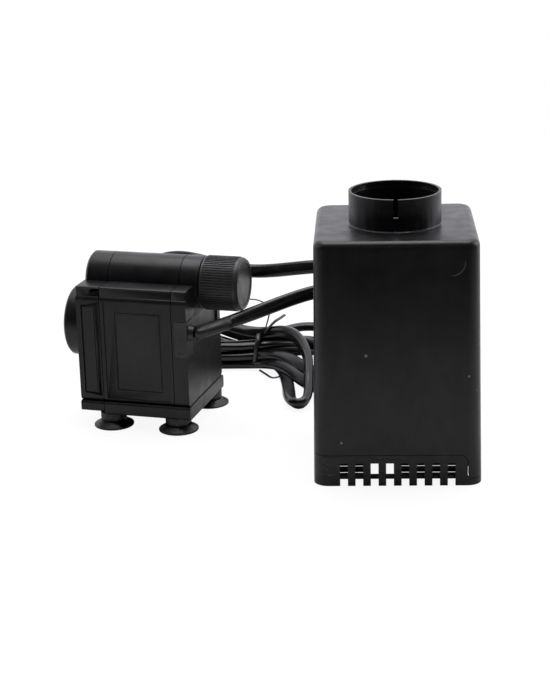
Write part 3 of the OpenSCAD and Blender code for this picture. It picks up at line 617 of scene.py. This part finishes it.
def dress_everything(lead, sleeve, ties):
    """Rounded copies of the mouldings, and a material on every piece."""
    pump_black = moulding("pump_moulding", (0.0056, 0.0050, 0.0060), 0.30, 0.40, level=PLASTIC_LEVEL, scratches=0.06)
    cap_black = moulding("cap_moulding", (0.0170, 0.0158, 0.0175), 0.40, 0.52, scratches=0.05)
    housing_black = housing_moulding("housing_moulding", (0.0045, 0.0038, 0.0048), 0.30, 0.38)
    base_black = moulding("base_moulding", (0.0052, 0.0046, 0.0056), 0.30, 0.40, level=PLASTIC_LEVEL, dust=0.8)
    grid_black = moulding("grid_moulding", (0.0052, 0.0047, 0.0056), 0.36, 0.48, level=PLASTIC_LEVEL, dust=0.9)
    cup_rubber = moulding("cup_rubber", (0.006, 0.006, 0.0065), 0.35, 0.50, grain=0.7, dust=0.6, scratches=0.1)
    gland_rubber = moulding("gland_rubber", (0.0075, 0.0075, 0.008), 0.38, 0.52, grain=0.7, scratches=0.1)
    seal_rubber = moulding("seal_rubber", (0.012, 0.012, 0.013), 0.40, 0.55, grain=0.5, scratches=0.0)
    jacket = moulding("lead_jacket", (0.0032, 0.0029, 0.0036), 0.18, 0.27, grain=0.3, waves=0.5, dust=0.25, scratches=0.15, level=0.4)
    plug_black = moulding("plug_moulding", (0.006, 0.006, 0.0065), 0.28, 0.40, grain=0.9)
    tie_plastic = moulding("tie_coating", (0.012, 0.012, 0.013), 0.25, 0.35, grain=0.3)
    impeller_grey = moulding("impeller_moulding", (0.03, 0.03, 0.033), 0.35, 0.5, scratches=0.1)
    magnet_grey = moulding("sintered_magnet", (0.030, 0.030, 0.033), 0.45, 0.60, grain=1.0, dust=0.2)
    ceramic = moulding("ceramic_shaft", (0.82, 0.81, 0.78), 0.12, 0.22, grain=0.1, dust=0.1, scratches=0.0)
    nylon = moulding("bobbin_nylon", (0.62, 0.60, 0.54), 0.35, 0.50, grain=0.5, dust=0.2, scratches=0.1)
    resin = moulding("potting_resin", (0.020, 0.018, 0.017), 0.18, 0.30, waves=2.0, dust=0.3, scratches=0.0)
    steel = banded("core_sheets", (0.42, 0.43, 0.45), (0.18, 0.17, 0.17), 0.0005, "X", 0.35)
    copper = banded("wound_copper", (0.72, 0.33, 0.16), (0.40, 0.16, 0.07), 0.0004, "Y", 0.25)
    pins = plain_metal("plated_pins", (0.62, 0.60, 0.56), 0.18, 0.30)
    # each row: the record's slot, the material, and the nodes that get it
    finishes = (
        ("pump_plastic", pump_black,
            ("motor_housing", "front_cover", "rear_cover", "foot_base", "intake_ring")),
        ("cap_plastic", cap_black, ("control_cap", "valve_barrel")),
        ("impeller_plastic", impeller_grey, ("impeller",)),
        ("housing_plastic", housing_black, ("housing_shell",)),
        ("housing_plastic", base_black, ("housing_base",)),
        ("housing_plastic", grid_black, ("base_grid",)),
        ("cup_rubber", cup_rubber,
            ("cup_front_left", "cup_front_right", "cup_back_left", "cup_back_right")),
        ("gland_rubber", gland_rubber, ("cable_gland",)),
        ("seal_rubber", seal_rubber, ("front_bush", "rear_bush", "volute_gasket", "cap_seal")),
        ("ferrite", magnet_grey, ("rotor_magnet",)),
        ("shaft_ceramic", ceramic, ("shaft",)),
        ("bobbin_nylon", nylon, ("coil_bobbin",)),
        ("potting_resin", resin, ("potting",)),
        ("core_steel", steel, ("stator_core",)),
        ("winding_enamel", copper, ("coil_winding",)),
        ("plug_plastic", plug_black, ("plug_relief", "plug_body")),
        ("pin_brass", pins, ("plug_pins",)),
    )
    bodies = frame["record"]["behaviour"]["bodies"]
    body_of = {node: body for body, nodes in bodies.items() for node in nodes}
    for slot, material, nodes in finishes:
        for node in nodes:
            piece = frame["nodes"][node]
            if node in ROUNDED:
                piece = rounded_copy(node, ROUNDED[node], body_of[node])
            dress(piece, material)
    dress(sleeve, gland_rubber)
    dress(lead, jacket)
    for piece in ties:
        dress(piece, tie_plastic)


# ---------------------------------------------------------------- floor, world and lamps

FLOOR_HALF = 0.65
FLOOR_BACK = 0.25
FLOOR_COLOUR = (0.80, 0.80, 0.80, 1)
FLOOR_GLOW = 0.86
FLOOR_GLOW_STRENGTH = 1.06


def make_floor():
    """A plain pale floor that the camera sees as white, with the shadow faint on it."""
    mesh = bmesh.new()
    bmesh.ops.create_grid(mesh, x_segments=1, y_segments=1, size=FLOOR_HALF)
    bmesh.ops.translate(mesh, vec=(0, FLOOR_BACK, FLOOR_DROP), verts=mesh.verts)
    floor = link_mesh("studio_floor", mesh)
    material = bpy.data.materials.new("studio_floor")
    material.use_nodes = True
    tree = material.node_tree
    tree.nodes.remove(tree.nodes["Principled BSDF"])
    matt = tree.nodes.new("ShaderNodeBsdfDiffuse")
    matt.inputs["Color"].default_value = FLOOR_COLOUR
    glow = tree.nodes.new("ShaderNodeEmission")
    glow.inputs["Strength"].default_value = FLOOR_GLOW_STRENGTH
    seen = maths(tree, "MULTIPLY", tree.nodes.new("ShaderNodeLightPath").outputs["Is Camera Ray"], FLOOR_GLOW)
    mix = tree.nodes.new("ShaderNodeMixShader")
    tree.links.new(seen, mix.inputs["Fac"])
    tree.links.new(matt.outputs["BSDF"], mix.inputs[1])
    tree.links.new(glow.outputs["Emission"], mix.inputs[2])
    tree.links.new(mix.outputs["Shader"], tree.nodes["Material Output"].inputs["Surface"])
    floor.data.materials.append(material)


FLOOR_DROP = -0.0003
WORLD_FRONT = 0.04
WORLD_BACK = 1.25
WORLD_TINT = (0.94, 0.94, 1.0, 1)


def make_world():
    """White to the camera; to everything else bright at the back and dim in front."""
    world = bpy.data.worlds.new("studio")
    bpy.context.scene.world = world
    world.use_nodes = True
    tree = world.node_tree
    background = tree.nodes["Background"]
    direction = tree.nodes.new("ShaderNodeTexCoord").outputs["Generated"]
    parts = tree.nodes.new("ShaderNodeSeparateXYZ")
    tree.links.new(direction, parts.inputs["Vector"])
    backwards = spread(tree, parts.outputs["Y"], -0.1, 0.6, WORLD_FRONT, WORLD_BACK)
    camera_ray = tree.nodes.new("ShaderNodeLightPath").outputs["Is Camera Ray"]
    strength = spread(tree, camera_ray, 0.0, 1.0, backwards, 1.0)
    tree.links.new(strength, background.inputs["Strength"])
    tree.links.new(tinted(tree, WORLD_TINT, (1, 1, 1, 1), camera_ray), background.inputs["Color"])


# name: place, what it points at, width, height, power
LAMPS = {
    "top_softbox": ((0.05, 0.15, 0.95), (0, 0, 0.05), 0.9, 0.7, 9.0),
    "right_softbox": ((0.85, 0.15, 0.45), (0, 0, 0.08), 0.5, 0.6, 3.0),
    "left_softbox": ((-0.9, -0.1, 0.55), (0, 0, 0.05), 0.4, 0.5, 1.5),
    "front_fill": ((0.1, -1.3, 0.75), (0, 0, 0.05), 0.5, 0.4, 0.3),
}


def make_lamps():
    for name, (place, target, width, height, power) in LAMPS.items():
        data = bpy.data.lights.new(name, "AREA")
        data.shape = "RECTANGLE"
        data.size = width
        data.size_y = height
        data.energy = power
        lamp = bpy.data.objects.new(name, data)
        lamp.location = place
        lamp.rotation_euler = (Vector(target) - Vector(place)).to_track_quat("-Z", "Y").to_euler()
        bpy.context.collection.objects.link(lamp)


# ---------------------------------------------------------------- the scene

make_camera()
lead, sleeve, ties = make_lead()
dress_everything(lead, sleeve, ties)
make_floor()
make_world()
make_lamps()
bpy.context.scene.view_settings.view_transform = "Standard"
